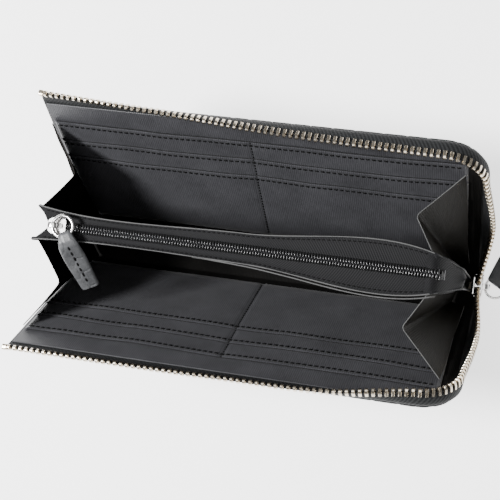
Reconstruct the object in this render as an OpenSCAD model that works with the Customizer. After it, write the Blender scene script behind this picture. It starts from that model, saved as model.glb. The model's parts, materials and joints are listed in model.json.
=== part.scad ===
// Long wallet with a zip round its top and right edges.
// It stands on its spine with both covers open, and a zipped coin pocket stands
// between the covers.  X runs along the wallet with the zip's closed end at +X,
// Y points to the rear cover and Z is up.  The origin is the centre of the
// spine's underside.  Each cover is drawn flat in its own frame, where x runs
// along the wallet, s runs up from the hinge line and n points to the inside.

/* [Covers] */
// Length of each cover, and of the wallet
cover_len = 195; // [170:1:210]
// Height of each cover above its hinge line
cover_h = 95; // [88:1:110]
// Radius of the corner that the zip turns round
corner_r = 16; // [10:1:24]
// Angle of each cover from upright as the wallet stands open
open_angle = 27.5; // [15:0.5:38]
// Distance of each hinge line from the middle of the spine
hinge_y = 10.5; // [10:0.5:14]
// Height of the hinge lines
hinge_z = 1.5; // [1.2:0.1:2]

/* [Layers] */
// Thickness of the embossed outer leather
leather_t = 1.3; // [0.8:0.1:1.6]
// Thickness of the stiffening board and of the zip tape beside it
board_t = 0.7; // [0.4:0.1:1]
// Thickness of the lining cloth
lining_t = 0.6; // [0.3:0.1:0.8]
// Thickness of one row of card slots
card_t = 0.5; // [0.3:0.1:0.6]
// Height of the top card slot's mouth above the hinge line
card_first = 82.5; // [76:0.5:86]
// Step down from one card slot's mouth to the next
card_pitch = 12.5; // [9:0.5:15]

/* [Main zip] */
// Distance of the chain's middle outside the edge of the cover
chain_e = 0.2; // [0:0.1:1]
// Distance that the tape stands inwards from the cover
tape_reach = 7.75; // [6:0.05:7.8]
// Distance from one metal tooth to the next
tooth_pitch = 2.7; // [2.2:0.1:3.2]
// Height at which the chain begins, measured up the cover
chain_start = 14; // [10:1:20]

/* [Coin pocket] */
// Half width of the pocket at its foot
pocket_foot = 2.6; // [2:0.1:3.5]
// Half width of the pocket at its mouth
pocket_mouth = 8.2; // [6:0.1:8.3]
// Height of the pocket's walls along their slope
pocket_h = 75; // [60:1:78]
// Distance from the middle to the top right corner of the pocket
pocket_top_x = 83; // [70:1:88]
// Distance from one turn of the nylon coil to the next
coil_pitch = 1.25; // [1:0.05:1.8]

/* [Pulls] */
// Mean radius of the ring on the coin zip
coin_ring_r = 4.7; // [4.2:0.1:6]
// Mean radius of the ring on the main zip
main_ring_r = 4.6; // [4.2:0.1:6]
// Length of the leather pull on the coin zip
coin_strap_len = 23; // [15:1:26]
// Length of the leather pull on the main zip
main_strap_len = 46; // [30:1:50]

/* [Hidden] */
$fn = 48;

half_len = cover_len / 2;
eps_gap = 0.3;              // running gap between parts that move past each other

// Layers of a cover, measured along n from the hinge line
leather_in = -0.2;
board_in = leather_in + board_t;
lining_in = board_in + lining_t;
card_x0 = -half_len + 5;
card_x1 = half_len - 4.5;
card_foot = 6;              // height of the card rows' lower edge

// Spine
spine_half = 9.6;
spine_board_half = 7;
spine_lining_half = 8.8;
spine_top = leather_t + board_t + lining_t;

// Coin pocket
pocket_z = spine_top + 1.2;
pocket_lean = asin((pocket_mouth - pocket_foot) / pocket_h);
wall_t = 0.8;
pocket_left = -half_len + 0.5;
pocket_right = half_len - 3.5;
pocket_top_z = pocket_z + pocket_h * cos(pocket_lean);
slope_s = pocket_h - 17;    // height at which the right end starts to slope in

// Coin zip, in heights above the floor
ctape_t = 0.6;
ctape_z = pocket_top_z - 0.7;
coil_z = ctape_z + ctape_t;
coil_h = 1.2;
coil_in = 0.55;
coil_back = 1.5;
coil_out = 2.3;
coil_x0 = -half_len + 5;
coil_turns = floor((pocket_top_x - 5 - coil_x0) / coil_pitch);

// Coin slider, ring and strap
cs_x0 = -89;
cs_len = 8.5;
cs_half = 3.8;
cs_plate = 0.6;
cs_lip = 1.1;               // width of the lips that hold the coil in
cs_bridge_w = 2.4;
cs_bridge_t = 0.8;
cs_post = 1.2;              // length of each of the bridge's posts
cs_bridge_x0 = 2.6;         // from the first post's start to the ring's wire
cs_bridge_x1 = 1.4;         // from the wire to the second post's start
cs_top = coil_z + coil_h + eps_gap;
coin_wire = 0.8;
coin_ring_z = cs_top + cs_plate + 2;
coin_bridge_x = -85.9;
coin_ring_x = coin_bridge_x + coin_ring_r;
coin_pull_dir = -66;

// Main zip
tooth_half = 1.1;           // half the thickness of a tooth
tooth_len = 1.3;            // length of a tooth along the chain
tooth_back = 1.6;
tooth_tip = 2;
tooth_neck = 0.6;           // where a tooth starts to taper
tooth_top = 0.7;            // half the thickness of its tip
chain_x = half_len + chain_e;
tail_size = [0.8, 10, 4.2];     // folded end of the tapes
end_box_size = [1, 4.8, 1.8];   // metal box that the chain ends in
end_box_z = 2.6;

// Main slider, ring and strap
ms_z0 = 4.9;
ms_z1 = 15;
ms_half = 5.8;
ms_lip = 4.7;
ms_plate = 0.8;
ms_bridge_w = 2.6;
ms_bridge_t = 0.8;
ms_bridge_z1 = 12.7;        // top of the bridge over the ring's wire
ms_foot = 1;                // height of the bridge's lower post
ms_head = 1.2;              // height of the bridge's upper post
ms_in = tooth_half + eps_gap;
ms_out = ms_in + ms_plate;
main_wire = 0.6;
main_bridge_x = chain_x + ms_out + eps_gap + main_wire;
main_ring_x = main_bridge_x + main_ring_r;
main_ring_z = 6.9;
main_pull_dir = 60;
main_pull_dip = 7;
pull_span = 30;             // wider than any pull, for cutting out its shape

// Colours
black_leather = [0.10, 0.11, 0.10];
dark_cloth = [0.17, 0.17, 0.18];
card_board = [0.45, 0.40, 0.33];
tape_green = [0.13, 0.16, 0.14];
gold_metal = [0.80, 0.75, 0.66];
silver_metal = [0.82, 0.82, 0.84];
gusset_brown = [0.24, 0.22, 0.19];
pale_edge = [0.55, 0.55, 0.55];
nylon_black = [0.06, 0.06, 0.06];

// ---------- frames ----------

// Puts a shape drawn as (x, s, n) on a plane that leans back from upright
module leaning(y, z, angle) {
    translate([0, y, z]) rotate([90 - angle, 0, 0]) children();
}

module rear() leaning(hinge_y, hinge_z, open_angle) children();

module front() mirror([0, 1, 0]) rear() children();

module rear_wall() leaning(pocket_foot, pocket_z, pocket_lean) children();

module front_wall() mirror([0, 1, 0]) rear_wall() children();

// The point (x, s, n) of the rear cover in the wallet's own frame
function on_rear(x, s, n) = [
    x,
    hinge_y + s * sin(open_angle) - n * cos(open_angle),
    hinge_z + s * cos(open_angle) + n * sin(open_angle)
];

// ---------- covers ----------

// Outline of a cover, brought in by inset, with its round top right corner
module cover_outline(inset, s0) {
    corner_x = half_len - corner_r;
    corner_s = cover_h - corner_r;
    translate([-half_len + inset, s0])
        square([corner_x + half_len - inset, cover_h - inset - s0]);
    translate([-half_len + inset, s0])
        square([cover_len - 2 * inset, corner_s - s0]);
    translate([corner_x, corner_s]) circle(r = corner_r - inset, $fn = 96);
}

module cover_sheet(inset, s0, n0, t) {
    translate([0, 0, n0]) linear_extrude(height = t) cover_outline(inset, s0);
}

module cover_leather() color(black_leather)
    cover_sheet(0, 0.6, leather_in - leather_t, leather_t);

module cover_board() color(card_board)
    cover_sheet(3, 4, leather_in, board_t);

module cover_lining() color(dark_cloth)
    cover_sheet(2, 3, board_in, lining_t);

// Card rows lie on each other like steps, the shortest one innermost
module card_row(row) color(dark_cloth) {
    top = card_first - (row - 1) * card_pitch;
    translate([card_x0, card_foot, lining_in + (row - 1) * card_t])
        cube([card_x1 - card_x0, top - card_foot, card_t]);
}

// ---------- main zip ----------

// Runs a profile drawn as (e, n) round the top, the corner and the right edge
module along_edge(x0, s1) {
    top_len = half_len - corner_r - x0;
    end_len = cover_h - corner_r - s1;
    translate([x0, cover_h, 0])
        rotate([90, 0, 90]) linear_extrude(height = top_len) children();
    translate([half_len - corner_r, cover_h - corner_r, 0])
        rotate_extrude(angle = 90, $fn = 96) translate([corner_r, 0]) children();
    translate([half_len, cover_h - corner_r, 0])
        rotate([90, 0, 0]) linear_extrude(height = end_len) children();
}

// A flange sewn between leather and lining, and a web that stands inwards
module tape_profile() {
    web = board_t / 2;
    polygon([
        [-2.6, leather_in], [chain_e + web, leather_in],
        [chain_e + web, tape_reach], [chain_e - web, tape_reach],
        [chain_e - web, board_in], [-2.6, board_in]
    ]);
}

module zip_tape() color(tape_green)
    along_edge(-half_len + 0.5, chain_start) tape_profile();

// One metal tooth clamped on the tape's edge, drawn as (e, n)
module tooth_profile() {
    web = board_t / 2;
    polygon([
        [-tooth_half, -tooth_back], [-web, -tooth_back], [-web, 0],
        [web, 0], [web, -tooth_back], [tooth_half, -tooth_back],
        [tooth_half, tooth_neck], [tooth_top, tooth_tip], [-tooth_top, tooth_tip],
        [-tooth_half, tooth_neck]
    ]);
}

module zip_teeth() color(gold_metal) {
    top_run = cover_len - corner_r - 6;
    arc_r = corner_r + chain_e;
    arc_turn = tooth_pitch / arc_r * 180 / PI;
    end_run = cover_h - corner_r - chain_start - 1;
    for (i = [0 : floor(top_run / tooth_pitch)])
        translate([half_len - corner_r - tooth_pitch / 2 - i * tooth_pitch, cover_h + chain_e, tape_reach])
            rotate([90, 0, 90]) linear_extrude(height = tooth_len, center = true) tooth_profile();
    for (i = [0 : floor(90 / arc_turn) - 1])
        translate([half_len - corner_r, cover_h - corner_r, tape_reach])
            rotate([0, 0, (i + 0.75) * arc_turn])
                translate([arc_r, 0, 0])
                    rotate([90, 0, 0]) linear_extrude(height = tooth_len, center = true) tooth_profile();
    for (i = [0 : floor(end_run / tooth_pitch)])
        translate([chain_x, cover_h - corner_r - tooth_pitch / 4 - i * tooth_pitch - 0.3, tape_reach])
            rotate([90, 0, 0]) linear_extrude(height = tooth_len, center = true) tooth_profile();
}

// Bent wire stop at the open end of the chain
module zip_stop() color(gold_metal)
    translate([-half_len + 2, cover_h + chain_e, tape_reach])
        rotate([90, 0, 90]) linear_extrude(height = 2.2, center = true)
            tooth_profile();

// Folded end of the two tapes, sewn on the end of the spine
module main_zip_tail() color(tape_green) {
    translate([half_len, -tail_size.y / 2, 0.2]) cube(tail_size);
}

module main_zip_stop() color(gold_metal)
    translate([half_len + tail_size.x, -end_box_size.y / 2, end_box_z]) cube(end_box_size);

// ---------- spine ----------

module spine_leather() color(black_leather)
    translate([-half_len, -spine_half, 0]) cube([cover_len, 2 * spine_half, leather_t]);

module spine_board() color(card_board)
    translate([-half_len + 3.5, -spine_board_half, leather_t])
        cube([cover_len - 7, 2 * spine_board_half, board_t]);

module spine_lining() color(dark_cloth)
    translate([-half_len + 2, -spine_lining_half, leather_t + board_t])
        cube([cover_len - 4, 2 * spine_lining_half, lining_t]);

// ---------- coin pocket ----------

module coin_wall() color(dark_cloth)
    linear_extrude(height = wall_t)
        polygon([
            [pocket_left, 0], [pocket_right, 0], [pocket_right, slope_s],
            [pocket_top_x, pocket_h], [pocket_left, pocket_h]
        ]);

// Pale binding folded over the top edge of a wall
module coin_binding() color(pale_edge)
    translate([pocket_left, pocket_h, 0])
        cube([pocket_top_x - pocket_left - 0.5, 0.7, wall_t + 0.1]);

module coin_pocket_base() color(dark_cloth)
    translate([pocket_left + 1, -pocket_foot, spine_top])
        cube([pocket_right - pocket_left - 2, 2 * pocket_foot, pocket_z - spine_top]);

// Half width between the walls at a height above the floor
function inside_half(z) = pocket_foot - wall_t - 0.1 + (z - pocket_z) * tan(pocket_lean);

module coin_side(z1) {
    z0 = pocket_z + 0.2;
    rotate([90, 0, 90]) linear_extrude(height = wall_t)
        polygon([
            [-inside_half(z0), z0], [inside_half(z0), z0],
            [inside_half(z1), z1], [-inside_half(z1), z1]
        ]);
}

module coin_side_left() color(dark_cloth)
    translate([pocket_left + 1, 0, 0]) coin_side(ctape_z - 1.5);

module coin_side_right() color(dark_cloth)
    translate([pocket_right - 1.6, 0, 0]) coin_side(pocket_z + slope_s - 3);

// Rounded end of the zip tape, folded down over the sloping end of the pocket
module coin_end_tab() color(tape_green) {
    run = pocket_right - pocket_top_x;
    fall = pocket_h - slope_s;
    tab_len = sqrt(run * run + fall * fall);
    tab_half = 5.2;
    translate([pocket_top_x + 0.4, 0, pocket_top_z - 0.6])
        rotate([0, atan(fall / run), 0])
            linear_extrude(height = ctape_t) {
                translate([0, -tab_half]) square([tab_len - tab_half, 2 * tab_half]);
                translate([tab_len - tab_half, 0]) circle(r = tab_half);
            }
}

module coin_tape() color(tape_green)
    translate([pocket_left + 1.5, 0.6, ctape_z])
        cube([pocket_top_x - 1.2 - pocket_left - 1.5, inside_half(ctape_z) - 0.65, ctape_t]);

// One side of the nylon coil, drawn as a comb whose loops point to the middle
module coin_coil(shift) color(nylon_black) {
    loop_w = coil_pitch / 2;
    x0 = coil_x0 + shift;
    comb = [for (i = [0 : coil_turns - 1], k = [0 : 3])
        [x0 + i * coil_pitch + (k < 2 ? 0 : loop_w), (k == 0 || k == 3) ? coil_back : coil_in]];
    back = [[x0 + coil_turns * coil_pitch - loop_w, coil_out], [x0, coil_out]];
    translate([0, 0, coil_z]) linear_extrude(height = coil_h) polygon(concat(comb, back));
}

module coin_zip_stops() color(silver_metal)
    for (x = [coil_x0 - 2.2, coil_x0 + coil_turns * coil_pitch + 1])
        translate([x, -coil_out, coil_z]) cube([1.5, 2 * coil_out, coil_h]);

// ---------- gussets ----------

module leaf(corners) hull() for (p = corners) translate(p) cube(0.6, center = true);

// A folded gusset: one leaf from the pocket to the fold, one from the fold to the cover
module gusset(pocket_top, pocket_low, fold_top, fold_low, cover_top, cover_low) color(gusset_brown) {
    leaf([pocket_top, pocket_low, fold_top, fold_low]);
    leaf([fold_top, fold_low, cover_top, cover_low]);
}

module gusset_right() gusset(
    [81, 9.4, 73], [88, 4.7, 14], [71.5, 24, 71], [84, 9, 14],
    on_rear(89, 76, 3.3), on_rear(91, 14, 3.3));

module gusset_left() gusset(
    [-94, 9.1, 73], [-94, 4.7, 14], [-82.4, 24.6, 72], [-90, 9, 14],
    on_rear(-95.5, 81, 3.3), on_rear(-95.5, 14, 3.3));

// ---------- pulls ----------

module ring(r, wire) rotate_extrude($fn = 96) translate([r, 0]) circle(r = wire, $fn = 24);

// Leather pull in its own frame: u runs along it from the ring's wire, v across, w up.
// The side view holds the eye and the bend, and the plan gives the width.
module pull(side, plan, eye_u0, eye_u1, eye_half) difference() {
    intersection() {
        rotate([90, 0, 0]) linear_extrude(height = pull_span, center = true) polygon(side);
        linear_extrude(height = 2 * pull_span, center = true) polygon(plan);
    }
    rotate([90, 0, 0]) linear_extrude(height = pull_span + 1, center = true) {
        translate([eye_u0 + eye_half, -eye_half]) square([eye_u1 - eye_u0 - 2 * eye_half, 2 * eye_half]);
        translate([eye_u0 + eye_half, 0]) circle(r = eye_half);
        translate([eye_u1 - eye_half, 0]) circle(r = eye_half);
    }
}

module coin_slider() color(silver_metal) {
    body_z0 = ctape_z - eps_gap - cs_plate;
    lip_z = coil_z + eps_gap;
    for (z = [body_z0, cs_top])
        translate([cs_x0, -cs_half, z]) cube([cs_len, 2 * cs_half, cs_plate]);
    for (side = [-1, 1])
        translate([cs_x0, side > 0 ? cs_half - cs_lip : -cs_half, lip_z])
            cube([cs_len, cs_lip, cs_top - lip_z]);
    translate([cs_x0, -0.25, body_z0]) cube([2, 0.5, cs_top - body_z0]);
    bridge_top = coin_ring_z + coin_wire + eps_gap;
    for (x = [coin_bridge_x - cs_bridge_x0, coin_bridge_x + cs_bridge_x1])
        translate([x, -cs_bridge_w / 2, cs_top + cs_plate])
            cube([cs_post, cs_bridge_w, bridge_top - cs_top - cs_plate + cs_bridge_t]);
    translate([coin_bridge_x - cs_bridge_x0, -cs_bridge_w / 2, bridge_top])
        cube([cs_bridge_x0 + cs_bridge_x1 + cs_post, cs_bridge_w, cs_bridge_t]);
}

module coin_ring() color(silver_metal)
    translate([coin_ring_x, 0, coin_ring_z]) ring(coin_ring_r, coin_wire);

module coin_strap() color(black_leather) {
    bend_u = 5;
    fall = 40;
    far_u = bend_u + coin_strap_len * cos(fall);
    far_w = -coin_strap_len * sin(fall);
    translate([coin_ring_x, 0, coin_ring_z]) rotate([0, 0, coin_pull_dir])
        translate([coin_ring_r, 0, 0])
            pull(
                [[-3, -1.7], [2.2, -1.7], [bend_u, -1.1], [far_u, far_w - 1.1],
                 [far_u + 0.7, far_w + 0.9], [bend_u + 0.4, 1.1], [2.2, 1.7], [-3, 1.7]],
                [[-3, -2.7], [1, -2.8], [5, -4.1], [40, -4.1],
                 [40, 4.1], [5, 4.1], [1, 2.8], [-3, 2.7]],
                -2, 1.15, 1.1);
}

module main_slider() color(silver_metal) translate([chain_x, 0, 0]) {
    // Two plates, chamfered like a shield
    for (x = [-ms_out, ms_in])
        translate([x, 0, 0]) rotate([90, 0, 90]) linear_extrude(height = ms_plate)
            polygon([
                [-ms_half, ms_z0 + 2], [-ms_lip, ms_z0], [ms_lip, ms_z0], [ms_half, ms_z0 + 2],
                [ms_half, ms_z1 - 1], [ms_lip, ms_z1], [-ms_lip, ms_z1], [-ms_half, ms_z1 - 1]
            ]);
    // Lips that guide the teeth and leave a slot for the tape
    lip_h = ms_in - board_t / 2 - eps_gap;
    for (x = [-ms_in, ms_in - lip_h], y = [-ms_half, ms_lip])
        translate([x, y, ms_z0 + 2]) cube([lip_h, ms_half - ms_lip, ms_z1 - ms_z0 - 3]);
    // Wedge that splits the two rows of teeth
    wedge = 0.45;
    wedge_z0 = ms_z1 - 7;
    wedge_z1 = ms_z1 - 4.5;
    translate([-ms_in, 0, 0]) rotate([90, 0, 90]) linear_extrude(height = 2 * ms_in)
        polygon([[0, wedge_z0], [wedge, wedge_z1], [wedge, ms_z1], [-wedge, ms_z1], [-wedge, wedge_z1]]);
    // Bridge that holds the ring
    bridge_x = ms_out + 2 * (eps_gap + main_wire);
    translate([ms_out, -ms_bridge_w / 2, ms_z0])
        cube([bridge_x - ms_out, ms_bridge_w, ms_foot]);
    translate([ms_out, -ms_bridge_w / 2, ms_bridge_z1 - ms_head])
        cube([bridge_x - ms_out, ms_bridge_w, ms_head]);
    translate([bridge_x, -ms_bridge_w / 2, ms_z0])
        cube([ms_bridge_t, ms_bridge_w, ms_bridge_z1 - ms_z0]);
}

module main_ring() color(silver_metal)
    translate([main_ring_x, 0, main_ring_z]) ring(main_ring_r, main_wire);

module main_strap() color(black_leather)
    translate([main_ring_x, 0, main_ring_z]) rotate([0, 0, main_pull_dir])
        translate([main_ring_r, 0, 0]) rotate([0, main_pull_dip, 0])
            pull(
                [[-3.2, -1.8], [2.5, -1.8], [7, -1], [main_strap_len, -1],
                 [main_strap_len, 1], [7, 1], [2.5, 1.8], [-3.2, 1.8]],
                [[-3.2, -3], [4, -3.3], [12, -7], [main_strap_len - 2, -7], [main_strap_len, -5],
                 [main_strap_len, 5], [main_strap_len - 2, 7], [12, 7], [4, 3.3], [-3.2, 3]],
                -2.3, 1.2, 1.2);

// ---------- nodes ----------

spine_leather();
spine_board();
spine_lining();
rear() cover_leather();  // rear_cover_leather
rear() cover_board();  // rear_cover_board
rear() cover_lining();  // rear_cover_lining
rear() card_row(1);  // rear_card_row_1
rear() card_row(2);  // rear_card_row_2
rear() card_row(3);  // rear_card_row_3
rear() zip_tape();  // rear_zip_tape
rear() zip_teeth();  // rear_zip_teeth
rear() zip_stop();  // rear_zip_stop
front() cover_leather();  // front_cover_leather
front() cover_board();  // front_cover_board
front() cover_lining();  // front_cover_lining
front() card_row(1);  // front_card_row_1
front() card_row(2);  // front_card_row_2
front() card_row(3);  // front_card_row_3
front() zip_tape();  // front_zip_tape
front() zip_teeth();  // front_zip_teeth
front() zip_stop();  // front_zip_stop
rear_wall() coin_wall();  // coin_wall_rear
front_wall() coin_wall();  // coin_wall_front
coin_pocket_base();
coin_side_left();
coin_side_right();
coin_end_tab();
rear_wall() coin_binding();  // coin_binding_rear
front_wall() coin_binding();  // coin_binding_front
coin_tape();  // coin_tape_rear
mirror([0, 1, 0]) coin_tape();  // coin_tape_front
coin_coil(0);  // coin_coil_rear
mirror([0, 1, 0]) coin_coil(coil_pitch / 2);  // coin_coil_front
coin_zip_stops();
gusset_left();  // gusset_rear_left
gusset_right();  // gusset_rear_right
mirror([0, 1, 0]) gusset_left();  // gusset_front_left
mirror([0, 1, 0]) gusset_right();  // gusset_front_right
main_zip_tail();
main_zip_stop();
coin_slider();
coin_ring();
coin_strap();
main_slider();
main_ring();
main_strap();
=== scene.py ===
"""Looks of the long wallet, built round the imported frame.

Lengths here are millimetres in the frame's own axes, and MM turns them into metres.
A shape is (points, faces, flat), where flat holds each point's place on the uncut cloth
or leather, also in millimetres, for weaves and grains.
"""

import json
import math

import bmesh
import bpy
import numpy as np
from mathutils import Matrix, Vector

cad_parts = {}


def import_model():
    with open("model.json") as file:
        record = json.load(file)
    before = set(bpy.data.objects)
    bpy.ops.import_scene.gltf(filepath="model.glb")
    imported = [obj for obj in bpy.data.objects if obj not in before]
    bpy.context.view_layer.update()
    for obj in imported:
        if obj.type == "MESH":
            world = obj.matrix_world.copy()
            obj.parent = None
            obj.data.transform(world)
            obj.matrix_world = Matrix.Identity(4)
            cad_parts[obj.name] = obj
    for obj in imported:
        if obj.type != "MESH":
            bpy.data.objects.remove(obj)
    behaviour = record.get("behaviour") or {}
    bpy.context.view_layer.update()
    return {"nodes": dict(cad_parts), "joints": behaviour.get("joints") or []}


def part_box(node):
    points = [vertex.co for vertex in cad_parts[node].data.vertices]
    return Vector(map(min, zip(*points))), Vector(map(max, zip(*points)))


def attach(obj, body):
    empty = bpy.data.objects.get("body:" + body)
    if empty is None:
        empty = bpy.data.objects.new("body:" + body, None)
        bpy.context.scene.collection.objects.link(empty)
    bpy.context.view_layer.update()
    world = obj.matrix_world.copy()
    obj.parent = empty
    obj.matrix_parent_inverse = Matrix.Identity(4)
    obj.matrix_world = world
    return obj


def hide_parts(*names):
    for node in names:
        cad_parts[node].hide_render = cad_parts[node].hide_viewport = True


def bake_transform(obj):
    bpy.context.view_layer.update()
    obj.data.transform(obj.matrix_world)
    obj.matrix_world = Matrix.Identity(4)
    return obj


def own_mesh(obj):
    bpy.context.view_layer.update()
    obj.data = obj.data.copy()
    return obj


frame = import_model()

MM = 0.001
REAR, FRONT = 1, -1
SIDES = {REAR: "rear", FRONT: "front"}

# ---------- sizes from the frame ----------


def joint(name):
    return next(j for j in frame["joints"] if j["name"] == name)


def box_mm(node):
    low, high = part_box(node)
    return np.array(low) / MM, np.array(high) / MM


HINGE_Y = joint("rear_cover_hinge")["pos_m"][1] / MM
HINGE_Z = joint("rear_cover_hinge")["pos_m"][2] / MM
OPEN = math.radians(joint("rear_cover_hinge")["range_deg"][1])
SIN, COS = math.sin(OPEN), math.cos(OPEN)
HALF_LEN = box_mm("spine_leather")[1][0]
LEATHER_T = box_mm("spine_leather")[1][2]
OUT_N = -1.5                    # outer face of a cover, along its normal
IN_N = OUT_N + LEATHER_T
COVER_H = (box_mm("rear_cover_leather")[1][2] - HINGE_Z - IN_N * SIN) / COS
CORNER_R = 16.0
CORNER_X = HALF_LEN - CORNER_R
CORNER_S = COVER_H - CORNER_R
LINING_N = 1.1                  # inner face of the lining
CARD_T = 0.5
CARD_TOPS = (82.5, 70.0, 57.5)  # mouths of the card rows above the hinge line
CARD_X0, CARD_X1 = -HALF_LEN + 2.6, HALF_LEN - 6.5
CARD_SEAM_X = -4.0
SPINE_TOP = box_mm("spine_lining")[1][2]

POCKET_Z = box_mm("coin_wall_rear")[0][2]
POCKET_TOP = box_mm("coin_binding_rear")[0][2]
POCKET_RIGHT = box_mm("coin_wall_rear")[1][0]
POCKET_TOP_X = box_mm("coin_binding_rear")[1][0] + 0.5
POCKET_FOOT = 2.6
POCKET_END_Z = 61.6             # where the pocket's right end starts to slope in
COIL_Z = box_mm("coin_coil_rear")[0][2]
COIL_X0, COIL_X1 = box_mm("coin_coil_rear")[0][0], box_mm("coin_coil_rear")[1][0]
COIL_PITCH = 1.25
COIL_END = COIL_X1 + 9          # the tapes and the coil run on over the rounded tab
TAB_X, TAB_LEN, TAB_HALF = POCKET_TOP_X - 3.5, 14.8, 7.9
POCKET_END_LEFT = -95.5         # where the folded left end meets the walls
COIL_START = COIL_X0 + 4        # the turns to its left lie inside the slider

TAPE_W = 7.9                    # from the seam at the cover's edge to the chain
TOOTH_PITCH = 2.7
CHAIN_X = HALF_LEN + 0.2
SLIDER_Z0, SLIDER_Z1 = 4.9, 15.0


# ---------- small maths ----------


def unit(v):
    return v / np.maximum(np.linalg.norm(v, axis=-1, keepdims=True), 1e-9)


def mix(a, b, t):
    return a + (b - a) * t


def smooth(t):
    t = np.clip(t, 0.0, 1.0)
    return t * t * (3 - 2 * t)


def through(knots, x):
    """A smooth curve through a few (x, y) knots."""
    kx, ky = np.array(knots, float).T
    slope = np.gradient(ky, kx)
    i = np.clip(np.searchsorted(kx, x) - 1, 0, len(kx) - 2)
    h = kx[i + 1] - kx[i]
    t = np.clip((x - kx[i]) / h, 0, 1)
    rise = (1 + 2 * t) * (1 - t) ** 2 * ky[i] + t * (1 - t) ** 2 * h * slope[i]
    return rise + t * t * (3 - 2 * t) * ky[i + 1] + t * t * (t - 1) * h * slope[i + 1]


def cell(ix, iy, seed):
    return np.mod(np.sin(ix * 127.1 + iy * 311.7 + seed * 74.7) * 43758.5453, 1.0)


def value_noise(x, y, seed):
    ix, iy = np.floor(x), np.floor(y)
    fx, fy = smooth(x - ix), smooth(y - iy)
    low = mix(cell(ix, iy, seed), cell(ix + 1, iy, seed), fx)
    high = mix(cell(ix, iy + 1, seed), cell(ix + 1, iy + 1, seed), fx)
    return 2 * mix(low, high, fy) - 1


def croc(x, y, cell_x, cell_y, crease=0.2):
    """Embossed scales: 0 in the creases and 1 on the scales."""
    gx, gy = x / cell_x, y / cell_y
    ix, iy = np.floor(gx), np.floor(gy)
    near = np.full(gx.shape, 9.0)
    second = near.copy()
    for dx in (-1, 0, 1):
        for dy in (-1, 0, 1):
            cx, cy = ix + dx, iy + dy
            px = cx + 0.25 + 0.5 * np.mod(cy, 2) + 0.4 * (cell(cx, cy, 1) - 0.5)
            py = cy + 0.5 + 0.35 * (cell(cx, cy, 2) - 0.5)
            d = np.hypot(gx - px, gy - py)
            second = np.minimum(second, np.maximum(near, d))
            near = np.minimum(near, d)
    return smooth((second - near) / crease)


def on_cover(side, x, s, n):
    """The point x along, s up and n inside of a cover's hinge line."""
    x, s, n = np.broadcast_arrays(np.asarray(x, float), s, n)
    return np.stack([x, side * (HINGE_Y + s * SIN - n * COS), HINGE_Z + s * COS + n * SIN], -1)


def cover_normal(side):
    return np.array([0, -side * COS, SIN])


def edge_height(x, inset=0.0):
    """Height of a cover's edge at x, with its round corner."""
    r = CORNER_R - inset
    across = np.clip(np.asarray(x, float) - CORNER_X, 0, r)
    return np.where(x > CORNER_X, CORNER_S + np.sqrt(r * r - across * across), COVER_H - inset)


def cover_columns(x0, inset, step):
    """Values of x that crowd together round the corner."""
    flat = np.linspace(x0, CORNER_X, max(2, round((CORNER_X - x0) / step)))
    turn = np.radians(np.linspace(0, 90, 19))[1:]
    return np.concatenate([flat, CORNER_X + (CORNER_R - inset) * np.sin(turn)])


def run_length(path):
    """Length along a path up to each of its points."""
    return np.concatenate([[0], np.cumsum(np.linalg.norm(np.diff(path, axis=0), axis=1))])


def pairs(*values):
    """Values that broadcast together, stacked as coordinates."""
    return np.stack(np.broadcast_arrays(*values), -1)


# ---------- shapes ----------


def quads_of(i):
    """The four-sided faces of a grid of point numbers."""
    return np.stack([i[:-1, :-1], i[1:, :-1], i[1:, 1:], i[:-1, 1:]], -1).reshape(-1, 4)


def tube_faces(rings, sides, closed=False):
    """Faces of a tube, with its two ends capped unless it is closed on itself."""
    i = np.arange(rings * sides).reshape(rings, sides)
    if closed:
        i = np.concatenate([i, i[:1]])
    faces = quads_of(np.concatenate([i, i[:, :1]], 1)).tolist()
    return faces if closed else faces + [i[0].tolist(), i[-1, ::-1].tolist()]


def slab(face_a, face_b, flat):
    """A closed sheet between two grids of points, with a rounded rim."""
    rows, cols = face_a.shape[:2]
    index = np.arange(rows * cols).reshape(rows, cols)
    loop = np.concatenate([index[0, :-1], index[:-1, -1], index[-1, :0:-1], index[:0:-1, 0]])
    a, b = face_a.reshape(-1, 3), face_b.reshape(-1, 3)
    mid = (a[loop] + b[loop]) / 2
    ahead = np.roll(mid, -1, 0) - np.roll(mid, 1, 0)
    out = unit(np.cross(ahead, a[loop] - b[loop]))
    centre = (face_a[rows // 2, cols // 2] + face_b[rows // 2, cols // 2]) / 2
    if np.sum((mid - centre) * out) < 0:
        out = -out
    thick = np.linalg.norm(a[loop] - b[loop], axis=1, keepdims=True)
    rim = mid + out * thick * 0.42
    count, turns = rows * cols, len(loop)
    nxt = np.roll(loop, -1)
    r0 = 2 * count + np.arange(turns)
    r1 = np.roll(r0, -1)
    quads = quads_of(index)
    faces = np.concatenate([
        quads, quads[:, ::-1] + count,
        np.stack([loop, nxt, r1, r0], -1), np.stack([r0, r1, nxt + count, loop + count], -1)])
    flat = flat.reshape(-1, 2)
    return np.concatenate([a, b, rim]), faces.tolist(), np.concatenate([flat, flat, flat[loop]])


def grid_normals(points):
    du = np.gradient(points, axis=0)
    dv = np.gradient(points, axis=1)
    return unit(np.cross(du, dv))


def thick(points, t, flat):
    """A slab of thickness t centred on a grid of points."""
    half = grid_normals(points) * (t / 2)
    return slab(points + half, points - half, flat)


def circle(r, sides=12, flat=1.0):
    turn = np.arange(sides) * 2 * math.pi / sides
    return np.stack([r * np.cos(turn), r * flat * np.sin(turn)], -1)


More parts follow.
